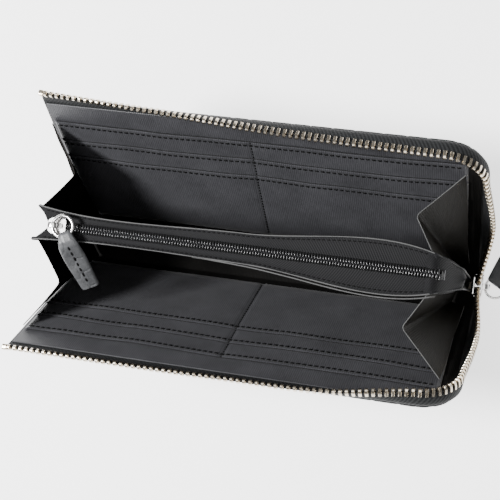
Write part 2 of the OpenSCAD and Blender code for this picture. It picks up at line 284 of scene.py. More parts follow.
def sweep(path, profile, up, closed=False, scale=None):
    """Runs a profile, drawn as (across, up), along a path."""
    path = np.asarray(path, float)
    ahead = np.roll(path, -1, 0) - np.roll(path, 1, 0) if closed else np.gradient(path, axis=0)
    ahead = unit(ahead)
    up = np.broadcast_to(np.asarray(up, float), path.shape)
    across = unit(np.cross(ahead, up))
    up = np.cross(across, ahead)
    size = np.ones(len(path)) if scale is None else np.asarray(scale, float)
    p = np.asarray(profile, float)[None] * size[:, None, None]
    points = path[:, None] + p[..., :1] * across[:, None] + p[..., 1:] * up[:, None]
    rings, sides = points.shape[:2]
    flat = pairs(run_length(path)[:, None], np.arange(sides)[None] * 0.4)
    return points.reshape(-1, 3), tube_faces(rings, sides, closed), flat.reshape(-1, 2)


def join(*shapes):
    points, faces, flat, start = [], [], [], 0
    for p, f, u in shapes:
        points.append(p)
        faces += [[i + start for i in face] for face in f]
        flat.append(u)
        start += len(p)
    return np.concatenate(points), faces, np.concatenate(flat)


def repeat(shape, origin, ahead, up):
    """A copy of a shape, drawn as (ahead, across, up), at each origin."""
    points, faces, flat = shape
    ahead = unit(np.broadcast_to(ahead, origin.shape))
    across = unit(np.cross(np.broadcast_to(up, origin.shape), ahead))
    up = np.cross(ahead, across)
    placed = (origin[:, None] + points[None, :, :1] * ahead[:, None]
              + points[None, :, 1:2] * across[:, None] + points[None, :, 2:] * up[:, None])
    count = len(points)
    many = [[i + k * count for i in face] for k in range(len(origin)) for face in faces]
    return placed.reshape(-1, 3), many, np.tile(flat, (len(origin), 1))


def walk(path, pitch, start, *along):
    """Points every pitch along a path from start, with what goes along it at those points."""
    path = np.asarray(path, float)
    run = run_length(path)
    at = np.arange(start, run[-1], pitch)
    ahead = np.gradient(path, axis=0)
    return [np.stack([np.interp(at, run, v[:, k]) for k in range(3)], -1)
            for v in (path, ahead, *along)]


def rounded(corners, radius, steps=5):
    """A closed outline through corners, each turned with an arc."""
    corners = np.asarray(corners, float)
    points = []
    for k, c in enumerate(corners):
        before, after = corners[k - 1] - c, corners[(k + 1) % len(corners)] - c
        cut = min(radius, np.linalg.norm(before) * 0.48, np.linalg.norm(after) * 0.48)
        a, b = c + unit(before) * cut, c + unit(after) * cut
        for t in np.linspace(0, 1, steps):
            points.append((1 - t) ** 2 * a + 2 * t * (1 - t) * c + t * t * b)
    return np.array(points)


def plate(outline, z0, z1, bevel=0.15):
    """A flat plate with bevelled edges, drawn as (x, y), from z0 to z1."""
    centre = outline.mean(0)
    reach = np.abs(outline - centre).max()
    less = 1 - bevel / reach
    rings = [(less, z0), (1, z0 + bevel), (1, z1 - bevel), (less, z1)]
    points = np.concatenate([
        np.column_stack([centre + (outline - centre) * k, np.full(len(outline), z)]) for k, z in rings])
    return points, tube_faces(len(rings), len(outline)), points[:, :2].copy()


def box_outline(x, y, radius):
    """A rounded rectangle that reaches x and y each way from its middle."""
    return rounded([(-x, -y), (x, -y), (x, y), (-x, y)], radius)


def upright(outline, x0, x1, bevel):
    """A plate drawn as (y, z) that stands across the x axis."""
    points, faces, flat = plate(outline, x0, x1, bevel)
    return points[:, [2, 0, 1]], faces, flat


def soft_curve(knots, count=36):
    """A smooth path through a few points."""
    knots = np.asarray(knots, float)
    at, along = np.linspace(0, 1, len(knots)), np.linspace(0, 1, count)
    return np.stack([through(np.column_stack([at, k]), along) for k in knots.T], -1)


def bigger(shape, ahead, across, up):
    return shape[0] * np.array([ahead, across, up]), shape[1], shape[2]


DASH = sweep([(-0.85, 0, -0.2), (-0.6, 0, 0.05), (0, 0, 0.13), (0.6, 0, 0.05), (0.85, 0, -0.2)],
             circle(0.26, 6, 0.7), (0, 0, 1), scale=[0.5, 0.95, 1, 0.95, 0.5])
BOLD_DASH = bigger(DASH, 1.05, 1.5, 1.6)
STRAP_DASH = bigger(DASH, 1.35, 2.0, 1.9)


def stitches(path, up, pitch=2.5, start=1.0, dash=DASH):
    """A row of sewn dashes along a path."""
    ups = np.broadcast_to(np.asarray(up, float), np.shape(path))
    origin, ahead, up = walk(path, pitch, start, ups)
    return repeat(dash, origin, ahead, up)


class Piece:
    """Shapes gathered into one object."""

    def __init__(self, name):
        self.name = name
        self.shapes = []

    def add(self, shape, material):
        self.shapes.append((shape, material))
        return self

    def build(self, slot, body=None, replaces=(), crease=45):
        points, faces, flat = join(*[s for s, _ in self.shapes])
        mesh = bpy.data.meshes.new(self.name)
        mesh.from_pydata((points * MM).tolist(), [], faces)
        materials = list(dict.fromkeys(m for _, m in self.shapes))
        for m in materials:
            mesh.materials.append(m)
        which = np.concatenate([np.full(len(s[1]), materials.index(m)) for s, m in self.shapes])
        mesh.polygons.foreach_set("material_index", which.astype(np.int32))
        layer = mesh.uv_layers.new(name="flat")
        corner = np.zeros(len(mesh.loops), np.int32)
        mesh.loops.foreach_get("vertex_index", corner)
        layer.data.foreach_set("uv", flat[corner].astype(np.float32).ravel())
        bm = bmesh.new()
        bm.from_mesh(mesh)
        bmesh.ops.recalc_face_normals(bm, faces=bm.faces)
        bm.to_mesh(mesh)
        bm.free()
        mesh.shade_smooth()
        mesh.set_sharp_from_angle(angle=math.radians(crease))
        obj = bpy.data.objects.new(self.name, mesh)
        bpy.context.scene.collection.objects.link(obj)
        if body:
            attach(obj, body)
        if replaces:
            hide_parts(*replaces)
        return obj


# ---------- materials ----------


class Shader:
    """A material with one principled shader, and short ways to add nodes to it."""

    def __init__(self, name, **sockets):
        self.material = bpy.data.materials.new(name)
        self.material.use_nodes = True
        self.tree = self.material.node_tree
        self.tree.nodes.clear()
        out = self.node("ShaderNodeOutputMaterial")
        self.bsdf = self.node("ShaderNodeBsdfPrincipled")
        self.tree.links.new(self.bsdf.outputs[0], out.inputs[0])
        for socket, value in sockets.items():
            self.bsdf.inputs[socket.replace("_", " ")].default_value = value

    def node(self, kind, **settings):
        node = self.tree.nodes.new(kind)
        for key, value in settings.items():
            setattr(node, key, value)
        return node

    def link(self, value, socket):
        if isinstance(value, bpy.types.NodeSocket):
            self.tree.links.new(value, socket)
        else:
            socket.default_value = value

    def flat(self):
        return self.node("ShaderNodeUVMap", uv_map="flat").outputs[0]

    def place(self):
        return self.node("ShaderNodeTexCoord").outputs["Object"]

    def scaled(self, vector, scale, turn=0.0):
        node = self.node("ShaderNodeMapping")
        self.link(vector, node.inputs["Vector"])
        node.inputs["Scale"].default_value = scale
        node.inputs["Rotation"].default_value = (0, 0, turn)
        return node.outputs[0]

    def noise(self, vector, scale, detail=3.0, roughness=0.55):
        node = self.node("ShaderNodeTexNoise")
        self.link(vector, node.inputs["Vector"])
        node.inputs["Scale"].default_value = scale
        node.inputs["Detail"].default_value = detail
        node.inputs["Roughness"].default_value = roughness
        return node.outputs[0]

    def wave(self, vector, period, distortion=0.0, direction="X"):
        """Parallel bands, one every period."""
        node = self.node("ShaderNodeTexWave", bands_direction=direction)
        self.link(vector, node.inputs["Vector"])
        node.inputs["Scale"].default_value = math.pi / 10 / period
        node.inputs["Distortion"].default_value = distortion
        return node.outputs["Fac"]

    def cracks(self, vector, scale):
        node = self.node("ShaderNodeTexVoronoi", feature="DISTANCE_TO_EDGE")
        self.link(vector, node.inputs["Vector"])
        node.inputs["Scale"].default_value = scale
        return node.outputs["Distance"]

    def maths(self, operation, a, b):
        node = self.node("ShaderNodeMath", operation=operation)
        self.link(a, node.inputs[0])
        self.link(b, node.inputs[1])
        return node.outputs[0]

    def total(self, a, share_a, b, share_b):
        return self.maths("ADD", self.maths("MULTIPLY", a, share_a), self.maths("MULTIPLY", b, share_b))

    def spread(self, value, low, high):
        """Takes a value from 0 to 1 into the range from low to high."""
        node = self.node("ShaderNodeMapRange")
        self.link(value, node.inputs["Value"])
        node.inputs["To Min"].default_value = low
        node.inputs["To Max"].default_value = high
        return node.outputs[0]

    def colours(self, value, *stops):
        node = self.node("ShaderNodeValToRGB")
        ramp = node.color_ramp
        while len(ramp.elements) < len(stops):
            ramp.elements.new(0.5)
        for element, (position, colour) in zip(ramp.elements, stops):
            element.position = position
            element.color = (*colour, 1)
        self.link(value, node.inputs[0])
        self.link(node.outputs[0], self.bsdf.inputs["Base Color"])

    def roughness(self, value, low, high):
        self.link(self.spread(value, low, high), self.bsdf.inputs["Roughness"])

    def bump(self, height, strength, distance_mm):
        node = self.node("ShaderNodeBump")
        node.inputs["Strength"].default_value = strength
        node.inputs["Distance"].default_value = distance_mm * MM
        self.link(height, node.inputs["Height"])
        self.link(node.outputs[0], self.bsdf.inputs["Normal"])
        return self.material


def leather_material(name, dark, light, rough, gloss=0.3):
    """Embossed leather: fine pores and crackle on top of the modelled scales."""
    m = Shader(name, Specular_IOR_Level=gloss)
    flat = m.flat()
    patches = m.noise(flat, 0.12, 4)
    grain = m.noise(flat, 1.6, 5)
    crackle = m.cracks(flat, 0.9)
    m.colours(m.total(patches, 0.6, grain, 0.4), (0.3, dark), (0.7, light))
    m.roughness(grain, *rough)
    height = m.maths("ADD", m.maths("MULTIPLY", grain, 0.5), m.maths("MINIMUM", crackle, 0.18))
    return m.bump(height, 0.35, 0.12)


def satin_material(name, dark, light, rib, rough=(0.36, 0.54), sheen=0.12, gloss=0.3):
    """Ribbed satin: fine cords that run up the cloth, with a soft sheen."""
    m = Shader(name, Specular_IOR_Level=gloss, Sheen_Weight=sheen, Sheen_Roughness=0.4)
    flat = m.flat()
    cords = m.wave(flat, rib, 0.3)
    threads = m.noise(m.scaled(flat, (2.2, 0.25, 1)), 1.0, 3)
    patches = m.noise(flat, 0.06, 3)
    shade = m.total(cords, 0.35, threads, 0.65)
    m.colours(m.total(shade, 0.6, patches, 0.4), (0.3, dark), (0.72, light))
    m.roughness(threads, *rough)
    return m.bump(m.maths("ADD", cords, m.maths("MULTIPLY", threads, 0.4)), 0.4, 0.1)


def twill_material(name, dark, light, pitch):
    """Woven tape: diagonal twill crossed by its weft."""
    m = Shader(name, Specular_IOR_Level=0.15, Sheen_Weight=0.03, Sheen_Roughness=0.5)
    flat = m.flat()
    ridges = m.wave(m.scaled(flat, (1, 1, 1), math.radians(38)), pitch, 0.4)
    weft = m.wave(flat, pitch * 0.7, 0.3, "Y")
    fuzz = m.noise(flat, 2.5, 3)
    m.colours(m.total(ridges, 0.55, fuzz, 0.45), (0.25, dark), (0.8, light))
    m.roughness(fuzz, 0.6, 0.8)
    return m.bump(m.maths("ADD", ridges, m.maths("MULTIPLY", weft, 0.4)), 0.5, 0.15)


def metal_material(name, dark, light, rough):
    """Plated metal with light wear."""
    m = Shader(name, Metallic=1.0)
    place = m.place()
    wear = m.noise(place, 900, 3)
    brushed = m.noise(place, 3500, 2)
    m.colours(wear, (0.35, dark), (0.65, light))
    m.roughness(wear, *rough)
    return m.bump(brushed, 0.12, 0.03)


def thread_material(name, dark, light, rough=(0.45, 0.65), gloss=0.3):
    """Twisted sewing thread, or nylon."""
    m = Shader(name, Specular_IOR_Level=gloss)
    flat = m.flat()
    twist = m.wave(m.scaled(flat, (1, 1, 1), math.radians(30)), 0.5, 0.2)
    fuzz = m.noise(flat, 4, 2)
    m.colours(fuzz, (0.3, dark), (0.7, light))
    m.roughness(fuzz, *rough)
    return m.bump(twist, 0.35, 0.05)


OUTER = leather_material(
    "croc_leather", (0.004, 0.0045, 0.0045), (0.012, 0.013, 0.013), (0.3, 0.46), 0.16)
PULL = leather_material("pull_leather", (0.030, 0.031, 0.033), (0.100, 0.102, 0.106), (0.30, 0.5))
LINING = satin_material(
    "ribbed_satin", (0.020, 0.020, 0.0225), (0.056, 0.056, 0.062), 0.9, sheen=0.06, gloss=0.22)
WALL = satin_material(
    "pocket_satin", (0.010, 0.010, 0.011), (0.024, 0.024, 0.025), 0.8, sheen=0.0, gloss=0.1)
GUSSET = satin_material(
    "gusset_taffeta", (0.005, 0.0041, 0.0028), (0.011, 0.0092, 0.0062), 0.7, (0.5, 0.65), 0.0, 0.12)
# Painted shade: a darker copy of the gusset cloth, for the left gussets and for the lining on the spine and
# beside the zip's end, where shade falls
PAINTED_SHADE_CLOTH = satin_material(
    "painted_shade_cloth", (0.004, 0.004, 0.004), (0.010, 0.0095, 0.009), 0.7, (0.7, 0.85), 0.0, 0.0)
TAPE = twill_material("zip_twill", (0.006, 0.0065, 0.007), (0.022, 0.023, 0.024), 1.3)
COIN_TAPE = twill_material("coin_zip_twill", (0.0035, 0.0035, 0.004), (0.0115, 0.0115, 0.0125), 0.9)
GOLD = metal_material("pale_gold", (0.50, 0.43, 0.33), (0.78, 0.71, 0.60), (0.18, 0.3))
SILVER = metal_material("silver", (0.74, 0.73, 0.72), (0.93, 0.92, 0.91), (0.12, 0.24))
NYLON = thread_material("nylon_coil", (0.006, 0.006, 0.007), (0.014, 0.014, 0.015), (0.18, 0.3), 0.5)
THREAD = thread_material("black_thread", (0.002, 0.002, 0.002), (0.006, 0.006, 0.006), (0.6, 0.8), 0.08)
# Painted highlight: a pale colour for the cords along the pocket's top edges and the right gussets' hems,
# standing in for the light their folded edges catch
PAINTED_EDGE_HIGHLIGHT = thread_material("painted_edge_highlight", (0.045, 0.045, 0.045), (0.105, 0.105, 0.105), (0.5, 0.65))
BOARD = thread_material("board", (0.30, 0.26, 0.20), (0.42, 0.38, 0.31), (0.7, 0.9))


# ---------- covers ----------


def folded_sheet(side, n_out, t, bend_r, x, top, steps, y0=0.0):
    """Two grids of a sheet that runs from the spine's middle, round the fold, up a cover.
    n_out is its outer face, t its thickness and bend_r the outer face's bend."""
    spine_n, bend_n, cover_n = steps
    z0 = 0.0 if n_out < 0 else n_out
    meet_s = (z0 - HINGE_Z - n_out * SIN) / COS
    meet_y = HINGE_Y + meet_s * SIN - n_out * COS
    turn = math.pi / 2 - OPEN
    reach = bend_r * math.tan(turn / 2)
    ys = np.linspace(y0, meet_y - reach, spine_n, endpoint=False)
    outer = [np.column_stack([ys, np.full(spine_n, z0)])]
    normal = [np.tile([0.0, 1.0], (spine_n, 1))]
    a = np.linspace(0, turn, bend_n, endpoint=False)
    outer.append(np.column_stack([meet_y - reach + bend_r * np.sin(a),
                                  z0 + bend_r * (1 - np.cos(a))]))
    normal.append(np.column_stack([-np.sin(a), np.cos(a)]))
    outer, normal = np.concatenate(outer), np.concatenate(normal)
    length = run_length(outer)
    s_start = meet_s + reach
    share = np.linspace(0, 1, cover_n)
    s = s_start + (top[:, None] - s_start) * share
    grid_a = np.zeros((len(x), spine_n + bend_n + cover_n, 3))
    grid_b = grid_a.copy()
    k = spine_n + bend_n
    for grid, depth in ((grid_a, 0.0), (grid_b, t)):
        pts = outer + normal * depth
        grid[:, :k, 0] = x[:, None]
        grid[:, :k, 1] = side * pts[:, 0]
        grid[:, :k, 2] = pts[:, 1]
        grid[:, k:] = on_cover(side, x[:, None], s, n_out + depth)
    run = np.concatenate([np.broadcast_to(length, (len(x), k)), length[-1] + 0.5 + s - s_start], 1)
    return grid_a, grid_b, pairs(x[:, None], run)


def sheet_directions(grid_a, grid_b):
    return unit(grid_b - grid_a)


def edge_route(side, inset, n, x0, s_end=6.0):
    """A line on a cover, inset from its top, round corner and right edge."""
    r = CORNER_R - inset
    xs = np.linspace(x0, CORNER_X, 90)
    a = np.radians(np.linspace(0, 90, 19))[1:]
    ss = np.linspace(CORNER_S, s_end, 40)[1:]
    x = np.concatenate([xs, CORNER_X + r * np.sin(a), np.full(len(ss), HALF_LEN - inset)])
    s = np.concatenate([np.full(len(xs), COVER_H - inset), CORNER_S + r * np.cos(a), ss])
    return on_cover(side, x, s, n)


SHELL_BEND = 3.5
SCALE_X, SCALE_Y = 9.5, 6.5     # size of the embossed scales
GROOVE, PORE = 0.28, 0.05       # depth of the grooves between them and of the pores
SHELL_FOLD_S = 6.0
SEAM_INSET = 3.0


def make_shell(side):
    """Half of the embossed leather: half the spine, the fold and a cover."""
    name = SIDES[side]
    x = cover_columns(-HALF_LEN, 0.0, 0.8)
    grid_a, grid_b, flat = folded_sheet(
        side, OUT_N, LEATHER_T, SHELL_BEND, x, edge_height(x), (10, 8, 120))
    scales = croc(flat[..., 0] + 3 * value_noise(flat[..., 0] / 30, flat[..., 1] / 30, 3),
                  flat[..., 1] + side * 40, SCALE_X, SCALE_Y)
    pores = (1 - value_noise(flat[..., 0] / 1.5, flat[..., 1] / 1.5, 5)) / 2
    sink = GROOVE * (1 - scales) + PORE * pores
    inward = sheet_directions(grid_a, grid_b)
    edge = HALF_LEN - np.abs(flat[..., 0])
    grid_a = grid_a + inward * (sink * smooth(edge / 2.5))[..., None]
    piece = Piece(f"{name}_shell").add(slab(grid_a, grid_b, flat), OUTER)
    out = -cover_normal(side)
    piece.add(stitches(edge_route(side, SEAM_INSET, OUT_N + 0.12, -HALF_LEN + 2), out, 3.2), THREAD)
    hem = on_cover(side, -HALF_LEN + 2.2, np.linspace(6, COVER_H - 5, 40), OUT_N + 0.12)
    piece.add(stitches(hem, out, 3.2), THREAD)
    nodes = [f"{name}_cover_leather"] + (["spine_leather"] if side == REAR else [])
    shell = piece.build("outer_leather", replaces=nodes)
    end = Vector(on_cover(side, 0, SHELL_FOLD_S, OUT_N)) * MM
    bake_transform(shell)


def wrinkle(side, x, s):
    """Soft folds of the lining, in millimetres, never below zero."""
    long = value_noise(x / 26 + s / 60 + side * 7, s / 30 - x / 120, 11)
    short = value_noise(x / 11 + side * 3, s / 16 + x / 40, 12)
    return 0.28 * smooth((long + 0.6) / 1.4) + 0.12 * smooth((short + 0.5) / 1.2)


def bulge(x):
    """How far the card pockets belly out between their seams."""
    left = (x - CARD_X0) / (CARD_SEAM_X - CARD_X0)
    right = (x - CARD_SEAM_X) / (CARD_X1 - CARD_SEAM_X)
    t = np.where(x < CARD_SEAM_X, left, right)
    return np.clip(np.sin(np.pi * np.clip(t, 0, 1)), 0, 1) ** 0.5


PAINTED_SHADE_X = HALF_LEN - 9         # painted shade: a darker cloth covers the lining beyond this
PAINTED_SHADE_Z = 9.0                  # and below this
LINING_T = 0.55
LINING_INSET = 1.2              # from the cover's edge
LINING_BEND = 3.4
SPINE_COLUMNS = 14              # the grid's columns that lie on the spine and in its fold


def make_lining(side):
    name = SIDES[side]
    x = cover_columns(-HALF_LEN + 1.6, LINING_INSET, 1.6)
    grid_a, grid_b, flat = folded_sheet(
        side, LINING_N - LINING_T, LINING_T, LINING_BEND, x, edge_height(x, LINING_INSET),
        (6, 8, 70), POCKET_FOOT + 0.4)
    # The spine's lining lies higher than the covers', so the sheet drops to theirs in the fold
    lift = smooth((SPINE_COLUMNS - np.arange(grid_a.shape[1])) / 10)[None, :, None] * (SPINE_TOP - LINING_N)
    up = np.array([0.0, 0.0, 1.0])
    grid_a, grid_b = grid_a + lift * up, grid_b + lift * up
    soft = wrinkle(side, flat[..., 0], flat[..., 1]) * smooth((flat[..., 1] - 8) / 20)
    soft = soft * smooth((edge_height(flat[..., 0]) + 6 - flat[..., 1]) / 6)
    grid_b = grid_b + sheet_directions(grid_a, grid_b) * (0.5 * soft)[..., None]
    piece = Piece(f"{name}_lining_panel").add(slab(grid_b, grid_a, flat), LINING)
    nodes = [f"{name}_cover_lining"] + (["spine_lining"] if side == REAR else [])
    lining = piece.build("lining_cloth", replaces=nodes)
    # Painted shade: a darker cloth stands in for the shade on the spine and on the lining beside the end of
    # the zip
    lining.data.materials.append(PAINTED_SHADE_CLOTH)
    for face in lining.data.polygons:
        dark = face.center.x > PAINTED_SHADE_X * MM or face.center.z < PAINTED_SHADE_Z * MM
        face.material_index = int(dark)
    end = Vector(on_cover(side, 0, SHELL_FOLD_S, LINING_N)) * MM
    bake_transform(lining)


CARD_FOOT_S = 6.0
CARD_BELLY = 0.55
HEM_H = 3.4
HEM_STITCH = 2.5                # from the mouth down to its row of stitches
MOUTH_SAG = 0.5


def make_card_row(side, row):
    """One row of card pockets: a hemmed sheet, sewn along its mouth."""
    name = SIDES[side]
    top = CARD_TOPS[row - 1]
    x = np.linspace(CARD_X0, CARD_X1, 180)
    s = np.concatenate([np.linspace(CARD_FOOT_S, top - HEM_H - 0.6, 50),
                        top - HEM_H + np.array([-0.25, 0.1, 0.5]),
                        np.linspace(top - HEM_H + 1.2, top, 5)])
    gx, gs = np.meshgrid(x, s, indexing="ij")
    belly = CARD_BELLY * bulge(gx) * smooth((gs - 10) / 40)
    base = LINING_N + (row - 1) * CARD_T + belly + wrinkle(side, gx, gs)
    base = base * smooth((gs - CARD_FOOT_S + 6) / 12)
    hem = 0.12 * smooth((gs - (top - HEM_H - 0.3)) / 0.6) - 0.42 * smooth((gs - top + 0.6) / 0.6)
    ends = np.minimum(gx - CARD_X0, CARD_X1 - gx)
    hem = hem - 0.36 * (1 - smooth(ends / 0.9))
    seam = 0.3 * np.exp(-((gs - top + HEM_STITCH) / 0.6) ** 2)
    crease = 0.5 * np.exp(-((gx - CARD_SEAM_X) / 0.7) ** 2)
    sag = MOUTH_SAG * value_noise(gx / 21 + row, gs * 0 + row, 21) * smooth((gs - top + 8) / 8)
    depth = np.maximum(base + CARD_T + hem - seam - crease, base + 0.13)
    front = on_cover(side, gx, gs + sag, depth)
    back = on_cover(side, gx, gs + sag, base + 0.02)
    flat = np.stack([gx, gs], -1)
    piece = Piece(f"{name}_card_pocket_{row}").add(slab(front, back, flat), LINING)
    dash_x = np.linspace(CARD_X0 + 1.5, CARD_X1 - 1.5, 150)
    dash_s = top - HEM_STITCH + MOUTH_SAG * value_noise(dash_x / 21 + row, dash_x * 0 + row, 21)
    base = (LINING_N + (row - 1) * CARD_T + CARD_BELLY * bulge(dash_x) * smooth((dash_s - 10) / 40)
            + wrinkle(side, dash_x, dash_s) + CARD_T)
    line = on_cover(side, dash_x, dash_s, base + 0.02)
    piece.add(stitches(line, cover_normal(side), 2.6, dash=BOLD_DASH), THREAD)
    # Painted shade: a dark cord of the coin tape's cloth along the mouth stands in for its shaded edge and
    # hides the light the rim would catch
    lip = front[1:-1, -1] + cover_normal(side) * 0.02
    piece.add(sweep(lip, circle(0.24, 6), cover_normal(side)), COIN_TAPE)
    low = CARD_TOPS[row] if row < len(CARD_TOPS) else 8.0
    seam_s = np.linspace(top - 0.5, low + 0.5, 40)
    depth = LINING_N + row * CARD_T + wrinkle(side, CARD_SEAM_X + 0 * seam_s, seam_s) - 0.25
    seam_line = on_cover(side, CARD_SEAM_X + 0 * seam_s, seam_s, depth)
    piece.add(stitches(seam_line, cover_normal(side), 2.2, 0.3), THREAD)
    pocket = piece.build("lining_cloth", f"{name}_cover", [f"{name}_card_row_{row}"], crease=60)


# ---------- main zip ----------

# Lean of the tape, in degrees from the cover's plane towards the inside, against x
LEAN_TOP = {REAR: [(-97.5, 13), (-40, 37), (10, 60), (81.5, 78)],
            FRONT: [(-97.5, 20), (0, 22), (50, 32), (81.5, 68)]}
# The same down the right edge, against height
LEAN_END = {REAR: [(0, 80), (20, 58), (45, 52), (79, 79)],
            FRONT: [(0, 85), (35, 60), (55, 62), (79, 78)]}
GATHER_S = 45.0                 # the two tapes draw together below this
MOUTH_S, MOUTH_N = 7.9, 14.1    # the slider's mouth, measured on a cover
TAPE_FREE = 9.2                 # the tape's width where it hangs free of the cover
TAPE_SEAM = 2.6                 # how far the tape reaches in under the cover's edge
END_POINTS = 74                 # points of the route down the right end
TAIL_POINTS = 11                # and inside the slider


def zip_route(side):
    """Roots and chain points of the tape, and the direction each tooth points."""
    top_x = np.linspace(-HALF_LEN + 0.6, CORNER_X, 160)
    lean_top = through(LEAN_TOP[side], top_x)
    turn = np.linspace(0, 90, 25)[1:]
    ends = np.linspace(CORNER_S, MOUTH_S, END_POINTS + 1)[1:]
    lean_end = through(LEAN_END[side], ends)
    lean_turn = mix(lean_top[-1], LEAN_END[side][-1][1], smooth(turn / 90))
    lean = np.radians(np.concatenate([lean_top, lean_turn, lean_end]))
    a = np.radians(turn)
    x = np.concatenate([top_x, CORNER_X + CORNER_R * np.sin(a), np.full(len(ends), HALF_LEN)])
    s = np.concatenate([np.full(len(top_x), COVER_H), CORNER_S + CORNER_R * np.cos(a), ends])
    out_x = np.concatenate([np.zeros(len(top_x)), np.sin(a), np.ones(len(ends))])
    out_s = np.concatenate([np.ones(len(top_x)), np.cos(a), np.zeros(len(ends))])
    low_end = (x > HALF_LEN - 0.01) & (s < GATHER_S)
    gather = np.where(low_end, (GATHER_S - s) / (GATHER_S - MOUTH_S), 0) ** 1.7
    e = mix(TAPE_W * np.cos(lean) + 0.2, 0.4, gather)
    n = mix(TAPE_W * np.sin(lean), MOUTH_N, gather)
    chain = on_cover(side, x + out_x * e, s + out_s * e, n)
    root = on_cover(side, x, s, 0.15)
    out = unit(on_cover(side, out_x, out_s, 0) - on_cover(side, 0, 0, 0))
    reach = np.linalg.norm(chain - root, axis=1, keepdims=True)
    root = chain - (chain - root) * np.minimum(1, TAPE_FREE / reach)
    # Inside the slider the two chains run down side by side
    drop = np.linspace(0, 1, TAIL_POINTS + 1)[1:, None]
    tail = np.array([CHAIN_X + 0.3, side * 0.75, SLIDER_Z0 - 0.8])
    tail_root = np.array([CHAIN_X - 1.2, side * 6.5, SLIDER_Z0 - 1.4])
    chain = np.concatenate([chain, mix(chain[-1:], tail, drop)])
    root = np.concatenate([root, mix(root[-1:], tail_root, drop)])
    out = np.concatenate([out, np.tile(out[-1:], (TAIL_POINTS, 1))])
    belly = np.concatenate([0.45 * TAPE_W * (1 - smooth(gather)), np.zeros(TAIL_POINTS)])
    return root, chain, out, belly


def make_tooth():
    """A metal tooth: two legs that clamp the tape, a domed head and a nub."""
    outline = [(-1.15, -1.6), (-0.5, -1.7), (-0.45, 0.1), (0.45, 0.1), (0.5, -1.7), (1.15, -1.6),
               (1.25, 0.2), (1.15, 1.0), (0.8, 1.65), (0.3, 1.95), (-0.3, 1.95), (-0.8, 1.65),
               (-1.15, 1.0), (-1.25, 0.2)]
    body = sweep([(-0.66, 0, 0), (-0.52, 0, 0), (0.52, 0, 0), (0.66, 0, 0)], outline, (0, 0, 1),
                 scale=[0.86, 1, 1, 0.86])
    nub = sweep([(0.5, 0, 1.15), (0.85, 0, 1.15), (0.95, 0, 1.15)], circle(0.42, 8), (0, 0, 1),
                scale=[1, 0.8, 0.4])
    return join(body, nub)


def make_zip(side):
    name = SIDES[side]
    root, chain, out, belly = zip_route(side)
    inner = root - out * TAPE_SEAM
    free = slice(-1 - END_POINTS - TAIL_POINTS, None)
    inner[free] = root[free] - unit(chain[free] - root[free]) * 0.2
    control = root + out * belly[:, None]
    t = np.linspace(0, 1, 9)[:, None, None]
    pull = mix((root + chain) / 2, control, (belly[:, None] > 0))
    bend = (1 - t) ** 2 * root + 2 * t * (1 - t) * pull + t * t * chain
    middle = np.swapaxes(np.concatenate([inner[None], bend]), 0, 1)
    run = run_length(root)
    across = np.concatenate([[0], TAPE_SEAM + np.linspace(0, TAPE_W, 9)])
    tape = Piece(f"{name}_zip_ribbon")
    tape.add(thick(middle, 0.55, pairs(run[:, None], across[None])), TAPE)
    point_out = unit(bend[-1] - bend[-2])
    tape.add(sweep(chain, circle(0.55, 8), point_out), TAPE)
    ribbon = tape.build("zip_tape", replaces=[f"{name}_zip_tape"])
    origin, ahead, up = walk(chain, TOOTH_PITCH, 3.6, point_out)
    teeth = Piece(f"{name}_zip_chain").add(repeat(make_tooth(), origin, ahead, up), GOLD)
    chain_obj = teeth.build("gold_metal", replaces=[f"{name}_zip_teeth"], crease=30)
    stop_at, stop_ahead, stop_up = walk(chain[:12], 50, 1.4, point_out[:12])
    stop_shape = sweep([(-1.1, 0, 0), (-0.9, 0, 0), (0.9, 0, 0), (1.1, 0, 0)],
                       rounded([(-1.3, -1.5), (1.3, -1.5), (1.3, 1.1), (-1.3, 1.1)], 0.8), (0, 0, 1),
                       scale=[0.8, 1, 1, 0.8])
    stop = Piece(f"{name}_chain_stop").add(repeat(stop_shape, stop_at, stop_ahead, stop_up), GOLD)
    stop.build("gold_metal", f"{name}_cover", [f"{name}_zip_stop"])
    for obj in (ribbon, chain_obj):
        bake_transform(obj)


# ---------- coin pocket ----------

# Half width of the pocket's mouth against x, and x of each wall's left end
MOUTH = {REAR: [(-95, 8.6), (-88, 7.6), (0, 7.3), (83, 8.6), (94, 5.0)],
         FRONT: [(-96.5, 7.2), (-88, 6.6), (0, 6.4), (83, 8.6), (94, 5.0)]}
WALL_LEFT = {REAR: -95.2, FRONT: -96.6}
WALL_CUT_H = 75                 # height of a wall, laid flat
TAPE_LEFT = -94.5               # the left end of the coin zip's tapes
SECOND_LEFT = -22               # a second pale line, painted highlight along a fold, starts here and drifts inward


def pocket_top(x):
    """Height of the pocket's top edge, which slopes down at the right end."""
    slope = (x - POCKET_TOP_X) / (POCKET_RIGHT - POCKET_TOP_X)
    return np.where(x > POCKET_TOP_X, mix(POCKET_TOP, POCKET_END_Z, slope), POCKET_TOP)


def on_wall(side, x, v):
    """A point on a pocket wall, v from 0 at its foot to 1 at its top edge."""
    x, v = np.broadcast_arrays(np.asarray(x, float), v)
    z = mix(POCKET_Z, pocket_top(x), v)
    height = (z - POCKET_Z) / (POCKET_TOP - POCKET_Z)
    half = mix(POCKET_FOOT, through(MOUTH[side], x), height)
    soft = 0.35 * value_noise(x / 24 + side * 5, height * 3, 31) * np.sin(np.pi * np.clip(height, 0, 1))
    return np.stack([x, side * (half - 0.4 + soft), z], -1)


def press(piece):
    """Gives a piece of the pocket its own copy of its mesh."""
    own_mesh(piece)


